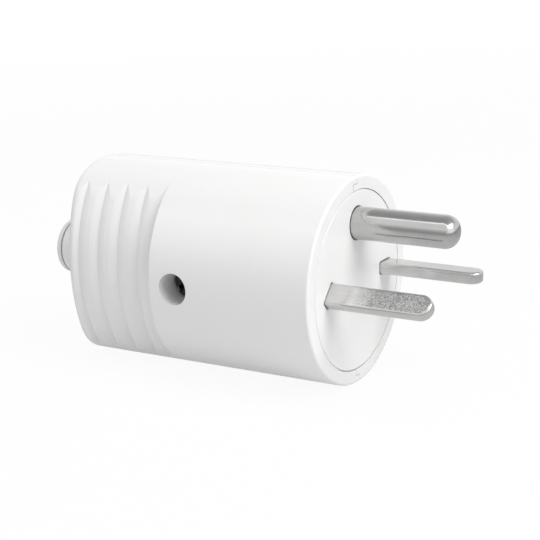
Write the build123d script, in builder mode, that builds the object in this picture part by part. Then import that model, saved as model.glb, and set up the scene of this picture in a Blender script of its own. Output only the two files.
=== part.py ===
"""A hand-wired low voltage plug: two housing halves closed round a pin carrier by one side screw.

The frame: +X runs along the plug's axis towards the pins, +Z points up through the round pin, and the
origin is the centre of the front face. The near half, with the screw's recess, is on the -Y side.
Depths are measured from the front face back, so a depth of 30 is at X = -30. Millimetres throughout.
"""

from build123d import *
import math
import os

os.makedirs("parts", exist_ok=True)

# Housing, outside
body_radius = 20.0
body_length = 58.0
front_edge_radius = 0.5
rear_edge_radius = 2.0
rear_bow_radius = 67.0
nozzle_radius = 5.55
nozzle_length = 7.8
nozzle_root_radius = 2.4
nozzle_edge_radius = 0.25

# Ribbed grip hollows, one on each side
grip_start = 35.1
rib_count = 5
rib_pitch = 4.65
rib_height = 0.6
crest_land = 0.03
crease_depth = 4.5
grip_arc_radius = 30.0
grip_step_run = 1.2
grip_blend_radius = 9.0
last_rib_rise = 1.6

# Housing, inside
front_wall = 2.7
grip_wall = 2.5
rear_wall = 3.6
cavity_neck_margin = 3.9
parting_gap = 0.06
lip_depth = 1.5
lip_thickness = 1.2
lip_rear_margin = 0.8
fit_gap = 0.1

# Pin carrier
carrier_face_thickness = 3.0
carrier_edge = 0.2
flange_thickness = 2.4
flange_height = 1.1
carrier_back_thickness = 2.5
key_width = 3.0
key_notch_sink = 0.5
barrier_thickness = 1.4
barrier_length = 9.8
barrier_reach = 16.2
barrier_angles = (45.0, 135.0, 270.0)
slot_gap = 0.08
slot_edge = 0.15

# Pins
pin_length = 20.2
round_pin_radius = 3.1
round_pin_height = 11.1
round_pin_end_radius = 2.6
round_pin_relief = 0.2
blade_width = 4.5
blade_thickness = 2.3
blade_offset = 11.4
blade_edge = 0.3
near_blade_angle = 45.0
far_blade_angle = 0.0

# Terminals at the back of the pins, and the ring that keeps them from being pushed in
terminal_size = 7.0
terminal_length = 10.0
terminal_edge = 0.5
terminal_root = 1.0
wire_hole_radius = 1.6
wire_hole_depth = 7.5
terminal_screw_radius = 1.5
terminal_screw_length = 4.2
terminal_screw_from_rear = 4.0
terminal_screw_proud = 0.9
terminal_slot_width = 0.5
terminal_slot_depth = 0.8
thread_gap = 0.02
stop_ring_thickness = 1.6
stop_ring_overlap = 1.9

# Side screw and its nut
screw_position = 28.7
screw_recess_radius = 3.03
screw_head_radius = 2.75
screw_head_height = 2.0
screw_head_edge = 0.45
screw_head_depth = 5.0
screw_radius = 1.5
screw_length = 25.0
screw_end_edge = 0.4
screw_hole_radius = 1.7
driver_slot_width = 0.8
driver_slot_depth = 1.0
driver_slot_turn = 35.0
post_wall = 1.55
nut_across_flats = 5.5
nut_thickness = 2.4
nut_edge = 0.3
nut_gap = 0.08
screw_beyond_nut = 0.4

# Cord clamp
cable_radius = 3.4
clamp_position = 43.2
clamp_width = 8.0
clamp_thickness = 2.4
clamp_edge = 0.4
clamp_screw_reach = 9.0
clamp_screw_radius = 1.45
clamp_screw_length = 9.0
clamp_screw_tip_edge = 0.6
clamp_screw_head_radius = 2.6
clamp_screw_head_height = 1.7
clamp_screw_head_edge = 0.5
clamp_post_radius = 2.9
clamp_post_top = 0.8
clamp_hole_gap = 0.15
clamp_hole_spare = 1.0
saddle_rib_thickness = 1.6

# Cable bushing
bushing_bore_radius = 3.5
bushing_wall = 0.75
bushing_flange_thickness = 1.15
bushing_flange_edge = 0.45
bushing_flange_gap = 0.25
bushing_collar_thickness = 1.2
bushing_collar_radius = 5.6
bushing_entry_edge = 0.3

# How far a cut runs past the surface that it opens
cut_margin = 1.5

# Values that follow from the ones above
cavity_radius = body_radius - front_wall
carrier_radius = cavity_radius - fit_gap
flange_radius = cavity_radius + flange_height
groove_radius = flange_radius + fit_gap
flange_rear = carrier_face_thickness + flange_thickness
groove_front = carrier_face_thickness - fit_gap
groove_rear = flange_rear + fit_gap
carrier_depth = flange_rear + carrier_back_thickness
terminal_rear = carrier_depth + terminal_length
stop_ring_front = terminal_rear + fit_gap
stop_ring_radius = blade_offset + terminal_size / 2 - stop_ring_overlap
nozzle_end = body_length + nozzle_length
cavity_neck = grip_start - cavity_neck_margin
cavity_end = body_length - rear_wall
crease_radius = body_radius - crease_depth
grip_axis_offset = grip_arc_radius - crease_radius
lip_radius = cavity_radius + lip_thickness
lip_rear = cavity_end - lip_rear_margin
sleeve_radius = bushing_bore_radius + bushing_wall
nozzle_bore_radius = sleeve_radius + fit_gap
post_radius = screw_recess_radius + post_wall
screw_seat = body_radius - screw_head_depth - screw_head_height
screw_tip = screw_length - screw_seat
nut_seat = screw_tip - screw_beyond_nut - nut_thickness
bridge_top = clamp_post_top - clamp_thickness
outside_radius = body_radius + cut_margin
half_gap = parting_gap / 2


def ring_along_x(front, rear, outer, inner):
    """A sleeve round the axis between two depths."""
    with BuildPart() as ring:
        with BuildSketch(Plane.YZ.offset(-rear)):
            Circle(outer)
            Circle(inner, mode=Mode.SUBTRACT)
        extrude(amount=rear - front)
    return ring.part


def rod_along_x(y, z, front, rear, radius):
    """A round rod along the plug between two depths."""
    with BuildPart() as rod:
        with BuildSketch(Plane.YZ.offset(-rear)):
            with Locations((y, z)):
                Circle(radius)
        extrude(amount=rear - front)
    return rod.part


def rod_along_y(depth, z, y_start, y_end, radius):
    """A round rod across the plug, from one Y to a higher one."""
    with BuildPart() as rod:
        with BuildSketch(Plane.XZ.offset(-y_end)):
            with Locations((-depth, z)):
                Circle(radius)
        extrude(amount=y_end - y_start)
    return rod.part


def block(front, rear, y_start, y_end, z_start, z_end):
    """A plain block between two depths."""
    with BuildPart() as shape:
        with BuildSketch(Plane.YZ.offset(-rear)):
            with Locations(((y_start + y_end) / 2, (z_start + z_end) / 2)):
                Rectangle(y_end - y_start, z_end - z_start)
        extrude(amount=rear - front)
    return shape.part


def inside_form(growth):
    """The space inside the housing, grown outwards: round in front, waisted between the grip's hollows."""
    radius = cavity_radius + growth
    hollow_radius = grip_arc_radius - grip_wall + growth
    with BuildPart() as form:
        with BuildSketch(Plane.YZ.offset(-cavity_neck)):
            Circle(radius)
        extrude(amount=cavity_neck)
        with BuildSketch(Plane.YZ.offset(-cavity_end)):
            Circle(radius)
            with Locations((grip_axis_offset, 0)):
                Circle(hollow_radius, mode=Mode.INTERSECT)
            with Locations((-grip_axis_offset, 0)):
                Circle(hollow_radius, mode=Mode.INTERSECT)
        extrude(amount=cavity_end - cavity_neck)
    return form.part


def grip_cutter(side):
    """What the grip's hollow takes away on one side: side is -1 for the near half and 1 for the far one."""
    creases = [grip_start + rib_pitch * count for count in range(rib_count)]
    beyond = body_length + cut_margin
    step_top = grip_start - grip_step_run * (outside_radius - crease_radius) / crease_depth
    crest_radius = crease_radius + rib_height
    last_crest_depth = creases[-1] + last_rib_rise
    with BuildPart() as cutter:
        with BuildSketch(Plane.XY):
            with BuildLine():
                Line((-step_top, side * outside_radius), (-creases[0], side * crease_radius))
                for front, rear in zip(creases, creases[1:]):
                    ThreePointArc(
                        (-front, side * crease_radius),
                        (-(front + rear) / 2, side * crest_radius),
                        (-rear, side * crease_radius),
                    )
                TangentArc(
                    (-last_crest_depth, side * crest_radius),
                    (-creases[-1], side * crease_radius),
                    tangent=(1, 0),
                )
                Polyline(
                    (-last_crest_depth, side * crest_radius),
                    (-beyond, side * crest_radius),
                    (-beyond, side * outside_radius),
                    (-step_top, side * outside_radius),
                )
            make_face()
        revolve(axis=Axis((0, -side * grip_axis_offset, 0), (1, 0, 0)))
    return cutter.part


def slotted_screw(plane, head, head_height, head_edge, shank, length, tip_edge):
    """A slotted screw: its plane lies under the head, facing the driver."""
    along = Axis(plane.origin, plane.z_dir)
    with BuildPart() as screw:
        with BuildSketch(plane):
            Circle(head)
        extrude(amount=head_height)
        fillet(screw.edges().sort_by(along)[-1], radius=head_edge)
        with BuildSketch(plane):
            Circle(shank)
        extrude(amount=-length)
        chamfer(screw.edges().sort_by(along)[0], length=tip_edge)
        with BuildSketch(plane.offset(head_height)):
            Rectangle(2 * head + cut_margin, driver_slot_width, rotation=driver_slot_turn)
        extrude(amount=-driver_slot_depth, mode=Mode.SUBTRACT)
    return screw.part


def terminal_plane(angle, offset):
    """The outer face of a terminal: its z points away from the axis, its x towards the pin's tip."""
    outward = (0, math.cos(math.radians(angle)), math.sin(math.radians(angle)))
    reach = offset + terminal_size / 2
    depth = terminal_rear - terminal_screw_from_rear
    return Plane(
        origin=(-depth, reach * outward[1], reach * outward[2]),
        x_dir=(1, 0, 0),
        z_dir=outward,
    )


def terminal(y, z, angle, offset):
    """The square block behind a pin, with its wire hole and its threaded screw hole."""
    with BuildPart() as body:
        with BuildSketch(Plane.YZ.offset(-terminal_rear)):
            with Locations((y, z)):
                Rectangle(terminal_size, terminal_size)
        extrude(amount=terminal_length)
        chamfer(body.edges().filter_by(Axis.X), length=terminal_edge)
        with BuildSketch(Plane.YZ.offset(-terminal_rear)):
            with Locations((y, z)):
                Circle(wire_hole_radius)
        extrude(amount=wire_hole_depth, mode=Mode.SUBTRACT)
        with BuildSketch(terminal_plane(angle, offset)):
            Circle(terminal_screw_radius + thread_gap)
        extrude(amount=-terminal_size / 2, mode=Mode.SUBTRACT)
    return body.part


def blade_plane(offset, angle):
    """The middle plane of a blade: x along the plug, y along the blade's width."""
    turn = math.radians(angle)
    return Plane(
        origin=(0, offset, 0),
        x_dir=(1, 0, 0),
        z_dir=(0, -math.sin(turn), math.cos(turn)),
    )


def blade(offset, angle):
    """A flat blade with a round end and a small chamfer all round its wide faces."""
    straight_end = pin_length - blade_width / 2
    root = -(carrier_depth + terminal_root)
    with BuildPart() as body:
        with BuildSketch(blade_plane(offset, angle)):
            with BuildLine():
                Polyline(
                    (straight_end, -blade_width / 2),
                    (root, -blade_width / 2),
                    (root, blade_width / 2),
                    (straight_end, blade_width / 2),
                )
                ThreePointArc(
                    (straight_end, blade_width / 2),
                    (pin_length, 0),
                    (straight_end, -blade_width / 2),
                )
            make_face()
        extrude(amount=blade_thickness / 2, both=True)
        outline = body.edges().filter_by(lambda edge: edge.center().X > root / 2)
        across = outline.filter_by(GeomType.LINE).filter_by(Axis.X, reverse=True)
        chamfer([edge for edge in outline if edge not in across], length=blade_edge)
    return body.part


def pin_hole(section):
    """A hole through the carrier of a given section, with its small edge at the face."""
    with BuildPart() as hole:
        with BuildSketch(Plane.YZ.offset(-carrier_depth)):
            add(section)
        extrude(amount=carrier_depth)
        with BuildSketch(Plane.YZ.offset(-slot_edge)):
            add(section)
        extrude(amount=slot_edge, taper=-45)
    return hole.part


def round_section(y, z, radius):
    """The section of the round pin's hole."""
    with BuildSketch(Plane.YZ) as section:
        with Locations((y, z)):
            Circle(radius)
    return section.sketch_local


def blade_section(offset, angle):
    """The section of a blade's slot, with corners cut as the blade's are."""
    with BuildSketch(Plane.YZ) as section:
        with Locations((offset, 0)):
            Rectangle(blade_width + 2 * slot_gap, blade_thickness + 2 * slot_gap, rotation=angle)
        chamfer(section.vertices(), length=blade_edge)
    return section.sketch_local


def lip_band(front, rear, outer, inner, y_start, y_end):
    """The stretch of a sleeve that lies between two values of Y, along both seams."""
    with BuildPart() as band:
        add(ring_along_x(front, rear, outer, inner))
        add(block(front, rear, y_start, y_end, -outer, outer), mode=Mode.INTERSECT)
    return band.part


# Outside: round in front, and behind it the section of the ribs' crests, blended into the round
rear_corner = body_length - rear_bow_radius + math.sqrt(rear_bow_radius**2 - outside_radius**2)
rear_beyond = body_length + cut_margin
with BuildPart() as body_envelope:
    with BuildSketch(Plane.YZ.offset(-grip_start)):
        Circle(body_radius)
    extrude(amount=grip_start)
    fillet(body_envelope.edges().sort_by(Axis.X)[-1], radius=front_edge_radius)
    with BuildSketch(Plane.YZ.offset(-rear_beyond)) as grip_section:
        Circle(body_radius)
        for side in (-1, 1):
            with Locations((side * grip_axis_offset, 0)):
                Circle(grip_arc_radius + rib_height - crest_land, mode=Mode.INTERSECT)
        fillet(grip_section.vertices(), radius=grip_blend_radius)
    extrude(amount=rear_beyond - grip_start)
    with BuildSketch(Plane.XY.offset(-outside_radius)):
        with BuildLine():
            ThreePointArc((-rear_corner, outside_radius), (-body_length, 0), (-rear_corner, -outside_radius))
            Polyline(
                (-rear_corner, -outside_radius),
                (-rear_beyond - cut_margin, -outside_radius),
                (-rear_beyond - cut_margin, outside_radius),
                (-rear_corner, outside_radius),
            )
        make_face()
    extrude(amount=2 * outside_radius, mode=Mode.SUBTRACT)
    fillet(body_envelope.faces().sort_by(Axis.X)[0].edges(), radius=rear_edge_radius)
    with BuildSketch(Plane.YZ.offset(-nozzle_end)):
        Circle(nozzle_radius)
    extrude(amount=nozzle_end - cavity_end)
    nozzle_edges = body_envelope.edges(Select.LAST).filter_by(GeomType.LINE, reverse=True).sort_by(Axis.X)
    fillet(nozzle_edges[1:], radius=nozzle_root_radius)
    fillet(body_envelope.edges().sort_by(Axis.X)[0], radius=nozzle_edge_radius)
    for side in (-1, 1):
        add(grip_cutter(side), mode=Mode.SUBTRACT)

# The side screw's posts and the stop ring, which reach into the middle of the wall
with BuildPart() as shared_fittings:
    add(rod_along_y(screw_position, 0, -body_radius, body_radius, post_radius))
    add(
        ring_along_x(
            stop_ring_front,
            stop_ring_front + stop_ring_thickness,
            body_radius,
            stop_ring_radius,
        )
    )
    add(inside_form(front_wall / 2), mode=Mode.INTERSECT)

with BuildPart() as closed_shell:
    add(body_envelope.part)
    add(inside_form(0), mode=Mode.SUBTRACT)
    add(rod_along_x(0, 0, cavity_end, nozzle_end, nozzle_bore_radius), mode=Mode.SUBTRACT)
    add(ring_along_x(groove_front, groove_rear, groove_radius, carrier_radius), mode=Mode.SUBTRACT)
    add(shared_fittings.part)

# Near half, with the recess of the side screw's head
with BuildPart() as housing_near_half:
    add(closed_shell.part)
    split(bisect_by=Plane.XZ.offset(half_gap), keep=Keep.TOP)
    add(
        lip_band(
            -cut_margin,
            lip_rear + fit_gap,
            lip_radius + fit_gap,
            carrier_radius,
            -(lip_depth + fit_gap),
            0,
        ),
        mode=Mode.SUBTRACT,
    )
    add(
        rod_along_y(screw_position, 0, -outside_radius, -screw_seat, screw_recess_radius),
        mode=Mode.SUBTRACT,
    )
    add(rod_along_y(screw_position, 0, -screw_seat, 0, screw_hole_radius), mode=Mode.SUBTRACT)
housing_near_half.part.label = "housing_near_half"
export_step(housing_near_half.part, "parts/housing_near_half.step")

# Far half, with the lip, the carrier's key, the nut's pocket and the lower part of the cord clamp
with BuildPart() as far_lip:
    add(lip_band(0, lip_rear, lip_radius, cavity_radius, -lip_depth, lip_depth))
    add(ring_along_x(groove_front, groove_rear, groove_radius, carrier_radius), mode=Mode.SUBTRACT)

with BuildPart() as clamp_base:
    for side in (-1, 1):
        add(
            rod_along_y(
                clamp_position,
                side * clamp_screw_reach,
                clamp_post_top,
                body_radius,
                clamp_post_radius,
            )
        )
    add(
        block(
            clamp_position - saddle_rib_thickness / 2,
            clamp_position + saddle_rib_thickness / 2,
            clamp_post_top,
            body_radius,
            -clamp_screw_reach,
            clamp_screw_reach,
        )
    )
    add(inside_form(grip_wall / 2), mode=Mode.INTERSECT)
    add(rod_along_x(0, 0, cavity_neck, cavity_end, cable_radius), mode=Mode.SUBTRACT)

clamp_screw_tip = bridge_top + clamp_screw_length
with BuildPart() as housing_far_half:
    add(closed_shell.part)
    split(bisect_by=Plane.XZ.offset(-half_gap), keep=Keep.BOTTOM)
    add(far_lip.part)
    add(clamp_base.part)
    add(
        block(
            groove_front,
            groove_rear,
            cavity_radius,
            groove_radius + fit_gap,
            -key_width / 2,
            key_width / 2,
        )
    )
    add(rod_along_y(screw_position, 0, 0, nut_seat, screw_hole_radius), mode=Mode.SUBTRACT)
    with BuildSketch(Plane.XZ.offset(-nut_seat)):
        with Locations((-screw_position, 0)):
            RegularPolygon(nut_across_flats / 2 + nut_gap, 6, major_radius=False)
    extrude(amount=-(outside_radius - nut_seat), mode=Mode.SUBTRACT)
    for side in (-1, 1):
        add(
            rod_along_y(
                clamp_position,
                side * clamp_screw_reach,
                clamp_post_top - cut_margin,
                clamp_screw_tip + clamp_hole_spare,
                clamp_screw_radius + thread_gap,
            ),
            mode=Mode.SUBTRACT,
        )
housing_far_half.part.label = "housing_far_half"
export_step(housing_far_half.part, "parts/housing_far_half.step")

# Pin carrier, held by its flange between the two halves
key_notch_half = key_width / 2 + fit_gap
with BuildPart() as pin_carrier:
    with BuildSketch(Plane.YZ.offset(-carrier_depth)):
        Circle(carrier_radius)
    extrude(amount=carrier_depth)
    chamfer(pin_carrier.edges().sort_by(Axis.X)[-1], length=carrier_edge)
    add(ring_along_x(carrier_face_thickness, flange_rear, flange_radius, carrier_radius - fit_gap))
    for angle in barrier_angles:
        with BuildSketch(Plane.YZ.offset(-carrier_depth)):
            with Locations(Rotation(0, 0, angle)):
                with Locations((barrier_reach / 2, 0)):
                    Rectangle(barrier_reach, barrier_thickness)
        extrude(amount=-barrier_length)
    add(
        block(
            carrier_face_thickness,
            flange_rear,
            carrier_radius - key_notch_sink,
            outside_radius,
            -key_notch_half,
            key_notch_half,
        ),
        mode=Mode.SUBTRACT,
    )
    add(pin_hole(round_section(0, round_pin_height, round_pin_radius + slot_gap)), mode=Mode.SUBTRACT)
    add(pin_hole(blade_section(-blade_offset, near_blade_angle)), mode=Mode.SUBTRACT)
    add(pin_hole(blade_section(blade_offset, far_blade_angle)), mode=Mode.SUBTRACT)
pin_carrier.part.label = "pin_carrier"
export_step(pin_carrier.part, "parts/pin_carrier.step")

# Pins, each one piece with its terminal
with BuildPart() as round_pin:
    add(rod_along_x(0, round_pin_height, -pin_length, 0, round_pin_radius))
    fillet(round_pin.edges().sort_by(Axis.X)[-1], radius=round_pin_end_radius)
    add(
        rod_along_x(
            0,
            round_pin_height,
            0,
            carrier_depth + terminal_root,
            round_pin_radius - round_pin_relief,
        )
    )
    add(terminal(0, round_pin_height, 90.0, round_pin_height))
round_pin.part.label = "round_pin"
export_step(round_pin.part, "parts/round_pin.step")

with BuildPart() as angled_blade:
    add(blade(-blade_offset, near_blade_angle))
    add(terminal(-blade_offset, 0, 180.0, blade_offset))
angled_blade.part.label = "angled_blade"
export_step(angled_blade.part, "parts/angled_blade.step")

with BuildPart() as flat_blade:
    add(blade(blade_offset, far_blade_angle))
    add(terminal(blade_offset, 0, 0.0, blade_offset))
flat_blade.part.label = "flat_blade"
export_step(flat_blade.part, "parts/flat_blade.step")

# Terminal screws, driven from outside the circle of the terminals
with BuildPart() as terminal_screws:
    for angle, offset in ((90.0, round_pin_height), (180.0, blade_offset), (0.0, blade_offset)):
        face = terminal_plane(angle, offset)
        with BuildSketch(face.offset(terminal_screw_proud)):
            Circle(terminal_screw_radius)
        extrude(amount=-terminal_screw_length)
        with BuildSketch(face.offset(terminal_screw_proud)):
            Rectangle(2 * terminal_screw_radius + cut_margin, terminal_slot_width)
        extrude(amount=-terminal_slot_depth, mode=Mode.SUBTRACT)
terminal_screws.part.label = "terminal_screws"
export_step(terminal_screws.part, "parts/terminal_screws.step")

# Side screw and nut
with BuildPart() as housing_screw:
    add(
        slotted_screw(
            Plane(origin=(-screw_position, -screw_seat, 0), x_dir=(1, 0, 0), z_dir=(0, -1, 0)),
            screw_head_radius,
            screw_head_height,
            screw_head_edge,
            screw_radius,
            screw_length,
            screw_end_edge,
        )
    )
housing_screw.part.label = "housing_screw"
export_step(housing_screw.part, "parts/housing_screw.step")

with BuildPart() as housing_nut:
    with BuildSketch(Plane.XZ.offset(-nut_seat)):
        with Locations((-screw_position, 0)):
            RegularPolygon(nut_across_flats / 2, 6, major_radius=False)
            Circle(screw_radius + thread_gap, mode=Mode.SUBTRACT)
    extrude(amount=-nut_thickness)
    chamfer(housing_nut.edges().filter_by(Axis.Y), length=nut_edge)
housing_nut.part.label = "housing_nut"
export_step(housing_nut.part, "parts/housing_nut.step")

# Cord clamp: a bridge arched over the cable, screwed to the far half's two posts
bridge_half_length = clamp_screw_reach + clamp_post_radius
arch_radius = cable_radius + clamp_thickness
with BuildPart() as cord_clamp:
    with BuildSketch(Plane.YZ.offset(-(clamp_position + clamp_width / 2))):
        Circle(arch_radius)
        with Locations((clamp_post_top + arch_radius / 2, 0)):
            Rectangle(arch_radius, 2 * arch_radius, mode=Mode.SUBTRACT)
        with Locations(((clamp_post_top + bridge_top) / 2, 0)):
            Rectangle(clamp_thickness, 2 * bridge_half_length)
        Circle(cable_radius, mode=Mode.SUBTRACT)
    extrude(amount=clamp_width)
    chamfer(cord_clamp.edges().filter_by(Axis.Y), length=clamp_edge)
    for side in (-1, 1):
        add(
            rod_along_y(
                clamp_position,
                side * clamp_screw_reach,
                bridge_top - cut_margin,
                clamp_post_top + cut_margin,
                clamp_screw_radius + clamp_hole_gap,
            ),
            mode=Mode.SUBTRACT,
        )
cord_clamp.part.label = "cord_clamp"
export_step(cord_clamp.part, "parts/cord_clamp.step")

with BuildPart() as cord_clamp_screws:
    for side in (-1, 1):
        add(
            slotted_screw(
                Plane(
                    origin=(-clamp_position, bridge_top, side * clamp_screw_reach),
                    x_dir=(1, 0, 0),
                    z_dir=(0, -1, 0),
                ),
                clamp_screw_head_radius,
                clamp_screw_head_height,
                clamp_screw_head_edge,
                clamp_screw_radius,
                clamp_screw_length,
                clamp_screw_tip_edge,
            )
        )
cord_clamp_screws.part.label = "cord_clamp_screws"
export_step(cord_clamp_screws.part, "parts/cord_clamp_screws.step")

# Cable bushing: its flange closes the nozzle's end, its collar holds it behind the rear wall
bushing_front = cavity_end - fit_gap - bushing_collar_thickness
bushing_seat = nozzle_end + bushing_flange_gap
bushing_end = bushing_seat + bushing_flange_thickness
with BuildPart() as cable_bushing:
    add(rod_along_x(0, 0, bushing_seat, bushing_end, nozzle_radius))
    fillet(cable_bushing.edges().sort_by(Axis.X)[0], radius=bushing_flange_edge)
    add(rod_along_x(0, 0, bushing_front, bushing_seat, sleeve_radius))
    add(rod_along_x(0, 0, bushing_front, bushing_front + bushing_collar_thickness, bushing_collar_radius))
    add(rod_along_x(0, 0, bushing_front, bushing_end, bushing_bore_radius), mode=Mode.SUBTRACT)
    chamfer(cable_bushing.edges().sort_by(Axis.X)[0], length=bushing_entry_edge)
cable_bushing.part.label = "cable_bushing"
export_step(cable_bushing.part, "parts/cable_bushing.step")
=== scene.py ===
"""The looks of a low voltage plug: white moulded halves, plated pins, threaded screws and a small studio."""

import logging
import math
from collections.abc import Callable, Sequence
from dataclasses import dataclass, replace
from enum import Enum

import bmesh
import bpy
from mathutils import Matrix, Vector


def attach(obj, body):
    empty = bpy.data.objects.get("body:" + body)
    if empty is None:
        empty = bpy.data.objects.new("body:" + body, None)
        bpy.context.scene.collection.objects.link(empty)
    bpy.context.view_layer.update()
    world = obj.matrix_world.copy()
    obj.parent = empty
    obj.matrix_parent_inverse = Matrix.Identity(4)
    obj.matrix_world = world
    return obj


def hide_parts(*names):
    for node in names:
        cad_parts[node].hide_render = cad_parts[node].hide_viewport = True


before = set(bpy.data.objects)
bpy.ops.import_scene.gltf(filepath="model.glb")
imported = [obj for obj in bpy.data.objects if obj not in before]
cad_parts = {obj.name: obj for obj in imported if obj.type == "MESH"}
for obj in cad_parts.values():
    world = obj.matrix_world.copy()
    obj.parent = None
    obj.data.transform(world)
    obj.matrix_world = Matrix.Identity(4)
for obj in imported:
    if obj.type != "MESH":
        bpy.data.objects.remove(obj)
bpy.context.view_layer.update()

log = logging.getLogger("plug")

MM = 0.001
ROOT_BODY = "root"
SHARP_FROM = math.radians(28.0)
SHADING_SAMPLES = 6
VECTOR_SOCKETS = ("Vector", "Face", "Normal")

# The numbers of a mix node's colour sockets, which share their names with others
MIX_FIRST, MIX_SECOND, MIX_RESULT = 6, 7, 2

Colour = tuple[float, float, float, float]
Triple = tuple[float, float, float]
Span = tuple[float, float]

ALONG_PLUG: Triple = (1.0, 0.0, 0.0)
TO_SCREW_SIDE: Triple = (0.0, -1.0, 0.0)


def grey(value: float, warmth: float = 0.0) -> Colour:
    """An opaque grey, a little warmer or cooler than neutral."""
    return (value * (1 + warmth), value, value * (1 - warmth), 1.0)


@dataclass(frozen=True)
class Texture:
    """A noise: its features in a metre, its finer layers and the span of its values that counts."""

    scale: object
    detail: float
    roughness: float = 0.5
    span: Span = (0.0, 1.0)


# Moulded plastic
FLOW = Texture(55.0, 3.0, span=(0.3, 0.7))
PEEL = Texture(620.0, 2.0)
GRAIN = Texture(5200.0, 2.0, 0.6)
HAIRS = Texture(900.0, 1.0, span=(0.71, 0.75))
HAZE = Texture(190.0, 4.0, 0.65, (0.35, 0.7))
HAIR_TURN: Triple = (0.5, 0.7, 0.4)
HAIR_STRETCH = 0.05
HAIR_DEPTH = 0.15

# Rubbed edges: the cosine between the rounded and the plain normal where rubbing starts and where it is full
EDGE_LEAN: Span = (0.995, 0.86)
RUBBED = Texture(900.0, 4.0, 0.7, (0.42, 0.62))

# Dust and painted shade: how open a place is where they start and where they are full
CREVICE_OPENNESS: Span = (0.8, 0.2)
DUST_AND_SHADE_CLOUD = Texture(400.0, 4.0, 0.6, (0.3, 0.75))
THINNEST_DUST_AND_SHADE = 0.45

# Drawn metal, whose lines take their scale from the finish
LINES = Texture(1.0, 3.0, 0.7, (0.35, 0.65))
LINE_STRETCH = 0.035
DEEP_SCRATCHES = Texture(1500.0, 1.0, span=(0.70, 0.74))
SCRATCH_TURN: Triple = (0.0, 0.0, 0.35)
SCRATCH_STRETCH = 0.06

# Crazed plating, only on faces whose normal is as near to the given one as this span of cosines
FACE_LEAN: Span = (0.985, 0.997)
BEND = Texture(1800.0, 3.0)
BEND_REACH = 0.0006
CELLS_IN_A_METRE = 2600.0
BRANCH_WIDTH: Span = (0.02, 0.16)
MARKS = Texture(3200.0, 4.0, 0.75, (0.40, 0.60))
FAINT_MARKS = 0.55
GROUND_PATCHES = Texture(420.0, 3.0, 0.6, (0.3, 0.6))
THINNEST_GROUND = 0.55

# Turned steel
RAGGED_RINGS = Texture(3000.0, 2.0)


class Effect(Enum):
    """The shared effects, each one shader node group."""

    MOULD_SKIN = "mould_skin"
    EDGE_WEAR = "edge_wear"
    CREVICE_DUST_AND_SHADE = "crevice_dust_and_shade"
    DRAWN_LINES = "drawn_lines"
    CRAZED_PLATING = "crazed_plating"
    TURNING_MARKS = "turning_marks"


class Graph:
    """A shader node tree with short calls that add nodes and join them."""

    def __init__(self, tree: bpy.types.NodeTree) -> None:
        """Takes the tree that the nodes go into."""
        self.tree = tree

    def feed(self, node: bpy.types.Node, inputs: dict) -> None:
        """Joins a socket to each named input, or sets its value.

        Args:
            node: the node whose inputs are fed.
            inputs: a value or a socket for each input, by name or number.
        """
        for name, value in inputs.items():
            if isinstance(value, bpy.types.NodeSocket):
                self.tree.links.new(value, node.inputs[name])
            else:
                node.inputs[name].default_value = value

    def node(self, kind: str, inputs: dict | None = None, **settings: object) -> bpy.types.Node:
        """Adds one node.

        Args:
            kind: the node's type name.
            inputs: a value or a socket for each input, by name or number.
            **settings: properties of the node.

        Returns:
            The new node.
        """
        made = self.tree.nodes.new(kind)
        for name, value in settings.items():
            setattr(made, name, value)
        self.feed(made, inputs or {})
        return made

    def calc(self, operation: str, first: object, second: object = 0.0) -> bpy.types.NodeSocket:
        """Adds a math node and gives its output."""
        return self.node("ShaderNodeMath", {0: first, 1: second}, operation=operation).outputs[0]

    def vector(self, operation: str, inputs: dict) -> bpy.types.Node:
        """Adds a vector math node and gives the node."""
        return self.node("ShaderNodeVectorMath", inputs, operation=operation)

    def spread(
        self, value: object, low: object, high: object, to_low: object = 0.0, to_high: object = 1.0
    ) -> bpy.types.NodeSocket:
        """Carries a value from one range to another, held at both ends.

        Args:
            value: the value or socket that is carried over.
            low: where its range starts.
            high: where its range ends.
            to_low: what the start becomes.
            to_high: what the end becomes.

        Returns:
            The new value's output.
        """
        ranges = dict(enumerate((value, low, high, to_low, to_high)))
        return self.node("ShaderNodeMapRange", ranges, clamp=True).outputs[0]

    def noise(self, place: object, texture: Texture) -> bpy.types.Node:
        """Adds a noise texture and gives the node."""
        layers = {"Detail": texture.detail, "Roughness": texture.roughness}
        return self.node("ShaderNodeTexNoise", {"Vector": place, "Scale": texture.scale, **layers})

    def patches(self, place: object, texture: Texture, lowest: float = 0.0) -> bpy.types.NodeSocket:
        """Adds a noise texture whose span is carried to a lowest value and one.

        Args:
            place: the coordinates.
            texture: the noise.
            lowest: what the span's start becomes.

        Returns:
            The new value's output.
        """
        return self.spread(self.noise(place, texture).outputs[0], *texture.span, lowest)

    def stretched(self, place: object, share: float, turn: Triple = (0.0, 0.0, 0.0)) -> bpy.types.NodeSocket:
        """Adds coordinates that change along X by only a share, after a turn, and gives them."""
        changes = {"Vector": place, "Rotation": turn, "Scale": (share, 1.0, 1.0)}
        return self.node("ShaderNodeMapping", changes).outputs[0]

    def mix(self, factor: object, first: object, second: object) -> bpy.types.NodeSocket:
        """Blends from a first colour to a second one by a factor."""
        inputs = {"Factor": factor, MIX_FIRST: first, MIX_SECOND: second}
        return self.node("ShaderNodeMix", inputs, data_type="RGBA").outputs[MIX_RESULT]

    def bump(self, depth: float, height: object, normal: object) -> bpy.types.NodeSocket:
        """Adds relief of a depth in metres over a normal, and gives the new normal."""
        inputs = {"Strength": 1.0, "Distance": depth, "Height": height, "Normal": normal}
        return self.node("ShaderNodeBump", inputs).outputs[0]


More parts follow.
